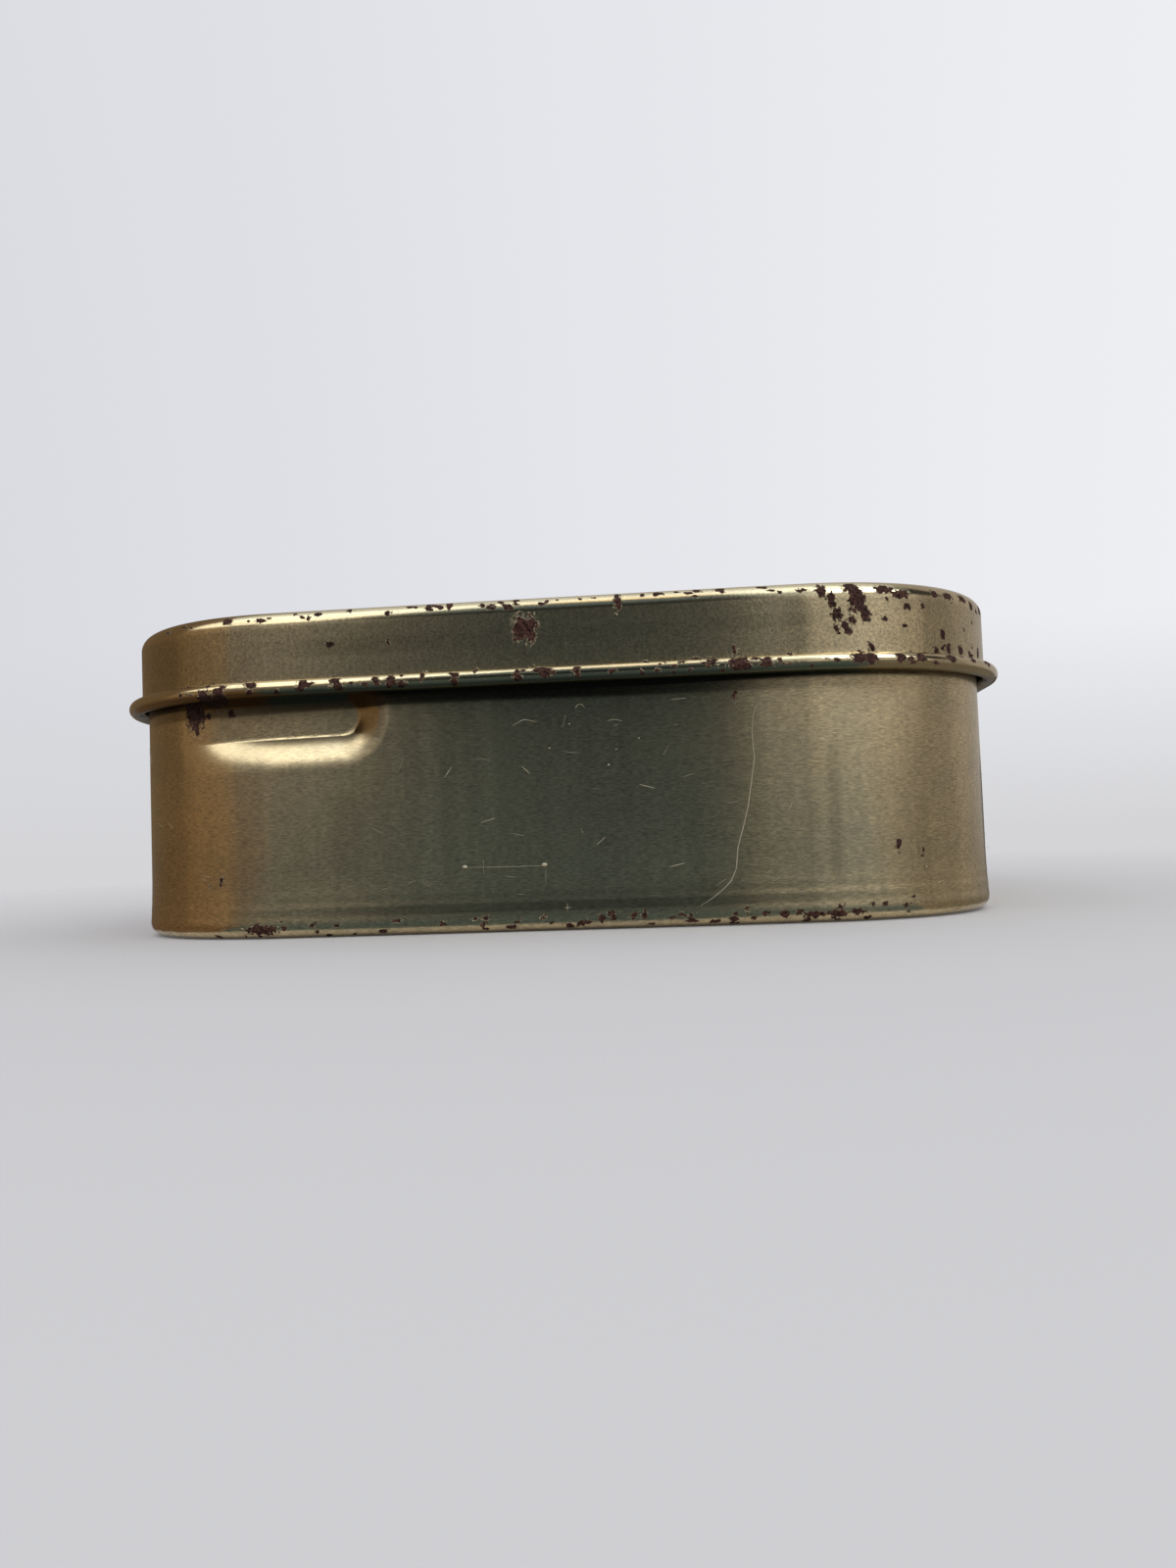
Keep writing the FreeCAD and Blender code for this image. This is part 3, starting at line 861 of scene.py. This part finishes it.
class TIN_OT_scratches(Operator):
    """Build the hairline scratches and bright nicks in the box's front"""

    bl_idname = "tin.scratches"
    bl_label = "Hairline scratches"

    def execute(self, context):
        builder = Builder(context)
        lines = [(LONG_SCRATCH, 0.045), (LEVEL_SCRATCH, 0.02)]
        lines += [(path, 0.03) for path in SHORT_SCRATCHES]
        for x, z, size in BRIGHT_DOTS:
            lines.append((((x - size, z), (x, z + 0.03), (x + size, z)), 0.75 * size))
        lines += handling_marks(builder.plan, builder.seed("scuffs"), 180)

        def wall_out(z):
            return builder.flare(z) + HAIRLINE_RISE

        corners, faces = [], []
        for path, half_width in lines:
            points, quads = ribbon(builder.plan, path, half_width * MM, wall_out)
            first = len(corners)
            corners += points.tolist()
            faces += [tuple(first + k for k in face) for face in quads]
        mesh = bpy.data.meshes.new("hairline_scratches")
        mesh.from_pydata(corners, [], faces)
        mesh.shade_smooth()
        put_vectors(mesh, "wrap_mm", np.array(corners, np.float32) / MM)
        builder.show("hairline_scratches", mesh, bare_metal(builder.finish))
        return {"FINISHED"}


class TIN_OT_stage(Operator):
    """Build the floor, the light tent that the metal reflects, the air and the camera"""

    bl_idname = "tin.stage"
    bl_label = "Stage"

    def execute(self, context):
        stage = context.scene.tin_stage
        make_floor(stage)
        make_tent(stage)
        make_world(stage)
        make_camera(stage)
        context.scene.view_settings.view_transform = "Standard"
        return {"FINISHED"}


def make_floor(stage):
    """A wide pale disc that fades into the air behind it."""
    mesh = bpy.data.meshes.new("floor")
    corner_count = 96
    reach = stage.floor_reach
    turns = [2 * math.pi * i / corner_count for i in range(corner_count)]
    ring = [(reach * math.cos(turn), reach * math.sin(turn), 0.0) for turn in turns]
    mesh.from_pydata(ring, [], [list(range(corner_count))])
    material = bpy.data.materials.new("pale_floor")
    mesh.materials.append(material)
    nodes = Nodes(material)
    nodes.set("Base Color", rgba(stage.floor))
    nodes.set("Roughness", 0.9)
    nodes.set("Specular IOR Level", 0.1)
    place = nodes.add("ShaderNodeTexCoord").outputs["Object"]
    away = nodes.add("ShaderNodeVectorMath", {0: place}, operation="LENGTH").outputs["Value"]
    fade = nodes.span(away, stage.fade_start, stage.fade_end)
    clear = nodes.add("ShaderNodeBsdfTransparent")
    solid = nodes.surface.outputs[0]
    nodes.finish(nodes.add("ShaderNodeMixShader", {0: fade, 1: solid, 2: clear.outputs[0]}))
    placed("floor", mesh)


def reflected_only(name, corners, faces, tone, strength=1.0):
    """A glowing card that only glossy surfaces see."""
    mesh = bpy.data.meshes.new(name)
    mesh.from_pydata(corners, [], faces)
    material = bpy.data.materials.new(name)
    mesh.materials.append(material)
    nodes = Nodes(material)
    nodes.tree.nodes.remove(nodes.surface)
    nodes.finish(nodes.add("ShaderNodeEmission", {"Color": rgba(tone), "Strength": strength}))
    card = placed(name, mesh)
    card.visible_camera = False
    card.visible_diffuse = False
    card.visible_shadow = False


WARM = (1.0, 0.70, 0.42)
CREAM = (1.0, 0.93, 0.82)
PLAIN = (1.0, 0.96, 0.95)
CLEAR = (0.96, 0.98, 1.0)
COOL = (0.78, 0.88, 1.0)
BLUE = (0.38, 0.68, 1.0)
# Softboxes of the light tent: name, degrees round from the front (right is positive), degrees up, tint
# and strength.
SOFTBOXES = (
    ("left_back", (-150, -85), (0, 55), WARM, 0.15),
    ("warm_corner", (-85, -50), (0, 32), WARM, 0.25),
    ("left_wall", (-50, -18), (5, 25), PLAIN, 0.2),
    ("left_window", (-85, -32), (32, 55), CLEAR, 1.8),
    ("left_pane", (-33, -25), (30, 55), CLEAR, 2.5),
    ("front_low", (-17, 5), (0, 6), BLUE, 0.12),
    ("front_window", (-20, 6), (40, 60), BLUE, 0.22),
    ("right_panel", (10, 80), (8, 25), PLAIN, 0.7),
    ("inner_window", (10, 25), (25, 55), COOL, 0.8),
    ("right_window", (25, 50), (36, 56), COOL, 5.6),
    ("right_pane", (50, 80), (36, 56), COOL, 7.6),
    ("right_side", (80, 105), (0, 25), PLAIN, 0.3),
    ("right_back", (105, 150), (0, 55), PLAIN, 0.4),
    ("back_wall", (150, 210), (5, 55), PLAIN, 0.5),
    ("left_sky", (-90, -24), (55, 80), COOL, 2.4),
    ("front_sky", (-24, 12), (67, 82), CREAM, 1.9),
    ("right_sky", (12, 90), (55, 80), COOL, 2.4),
    ("back_sky", (90, 270), (55, 80), COOL, 0.9),
    ("zenith", (-180, 180), (80, 90), COOL, 1.8),
)
# The apron round the tin's foot: name, millimetres along the plan, and colour.
APRONS = (
    ("front", (-30, 34), (0.060, 0.095, 0.115)),
    ("right", (34, 120), (0.17, 0.155, 0.13)),
    ("back", (120, 232), (0.14, 0.13, 0.12)),
    ("left", (232, 322), (0.13, 0.08, 0.045)),
)


TENT_STEP = 4.0             # degrees between the corners of a card
DOME_SHARE = 1.03           # of the tent's radius
APRON_SHARE = 1.5           # of the tent's radius
APRON_COLUMNS = 24
APRON_HEIGHT = 0.3 * MM


def make_tent(stage):
    """A light tent that only the metal sees: softboxes on a dark dome, and an apron round the tin's foot."""
    centre_y = BODY_LOW.y

    def sheet(round_from, round_to, up_from, up_to, radius):
        across = max(2, round((round_to - round_from) / TENT_STEP) + 1)
        upward = max(2, round((up_to - up_from) / TENT_STEP) + 1)
        corners = []
        for up in np.radians(np.linspace(up_from, up_to, upward)):
            for turn in np.radians(np.linspace(round_from, round_to, across)):
                corners.append((
                    radius * math.cos(up) * math.sin(turn),
                    centre_y - radius * math.cos(up) * math.cos(turn),
                    radius * math.sin(up),
                ))
        faces = [
            (row * across + k, row * across + k + 1, (row + 1) * across + k + 1, (row + 1) * across + k)
            for row in range(upward - 1) for k in range(across - 1)
        ]
        return corners, faces

    for name, (round_from, round_to), (up_from, up_to), tone, strength in SOFTBOXES:
        corners, faces = sheet(round_from, round_to, up_from, up_to, stage.tent_radius)
        reflected_only("softbox_" + name, corners, faces, tone, strength * stage.tent)
    corners, faces = sheet(-180, 180, -4, 90, stage.tent_radius * DOME_SHARE)
    reflected_only("tent_dome", corners, faces, (0.0, 0.0, 0.0))

    plan = Plan(bpy.context.scene.tin_sizes)
    count = APRON_COLUMNS
    for name, (start, end), tone in APRONS:
        x, y, out_x, out_y = plan.at(np.linspace(start, end, count) * MM)
        height = np.full_like(x, APRON_HEIGHT)
        corners = []
        for margin in (stage.apron_margin, stage.tent_radius * APRON_SHARE):
            corners += np.stack([x + out_x * margin, y + out_y * margin, height], axis=-1).tolist()
        faces = [(k, k + 1, count + k + 1, count + k) for k in range(count - 1)]
        reflected_only("apron_" + name, corners, faces, tone)


AIR_LEFT, AIR_RIGHT = -0.5, 0.45    # sideways headings between which the air changes colour
AIR_CLEAR = 0.16                    # upward heading above which the floor's haze is gone


def make_world(stage):
    """Plain air: one colour on the left, another on the right, and a third near the floor."""
    world = bpy.data.worlds.new("pale_air")
    nodes = Nodes(world)
    heading = nodes.add("ShaderNodeTexCoord").outputs["Generated"]
    parts = nodes.add("ShaderNodeSeparateXYZ", {0: heading}).outputs
    sideways = nodes.span(parts["X"], AIR_LEFT, AIR_RIGHT)
    upward = nodes.span(parts["Z"], 0.0, AIR_CLEAR)
    air = nodes.mix(sideways, rgba(stage.air_left), rgba(stage.air_right))
    nodes.put(nodes.mix(upward, rgba(stage.air_low), air), nodes.tree.nodes["Background"].inputs["Color"])
    bpy.context.scene.world = world


def make_camera(stage):
    data = bpy.data.cameras.new("camera")
    data.sensor_width = 36.0
    data.lens = stage.lens
    data.clip_start = 0.005
    camera = placed("camera", data)
    turn = Matrix.Rotation(stage.camera_turn, 4, "Z")
    rise = Matrix.Rotation(math.pi / 2 + stage.camera_rise, 4, "X")
    roll = Matrix.Rotation(stage.camera_roll, 4, "Z")
    camera.matrix_world = Matrix.Translation(stage.camera_place) @ turn @ rise @ roll
    bpy.context.scene.camera = camera


class TIN_PT_panel(Panel):
    """The tin's sizes, finish and stage, with a button for each piece"""

    bl_label = "Pocket tin"
    bl_idname = "TIN_PT_panel"
    bl_space_type = "VIEW_3D"
    bl_region_type = "UI"
    bl_category = "Tin"

    def draw(self, context):
        scene = context.scene
        groups = {"Sizes": scene.tin_sizes, "Finish": scene.tin_finish, "Stage": scene.tin_stage}
        for title, group in groups.items():
            box = self.layout.box()
            box.label(text=title)
            for name in group.__annotations__:
                box.prop(group, name)
        for operator in OPERATORS:
            self.layout.operator(operator.bl_idname)


GROUPS = {"tin_sizes": TinSizes, "tin_finish": TinFinish, "tin_stage": TinStage}
OPERATORS = (TIN_OT_box, TIN_OT_lid, TIN_OT_scratches, TIN_OT_stage)
CLASSES = (*GROUPS.values(), *OPERATORS, TIN_PT_panel)


def register():
    for item in CLASSES:
        bpy.utils.register_class(item)
    for name, group in GROUPS.items():
        setattr(bpy.types.Scene, name, PointerProperty(type=group))


def unregister():
    for name in GROUPS:
        delattr(bpy.types.Scene, name)
    for item in reversed(CLASSES):
        bpy.utils.unregister_class(item)


def main():
    register()
    bpy.ops.tin.box()
    bpy.ops.tin.lid()
    bpy.ops.tin.scratches()
    bpy.ops.tin.stage()


if __name__ == "__main__":
    main()
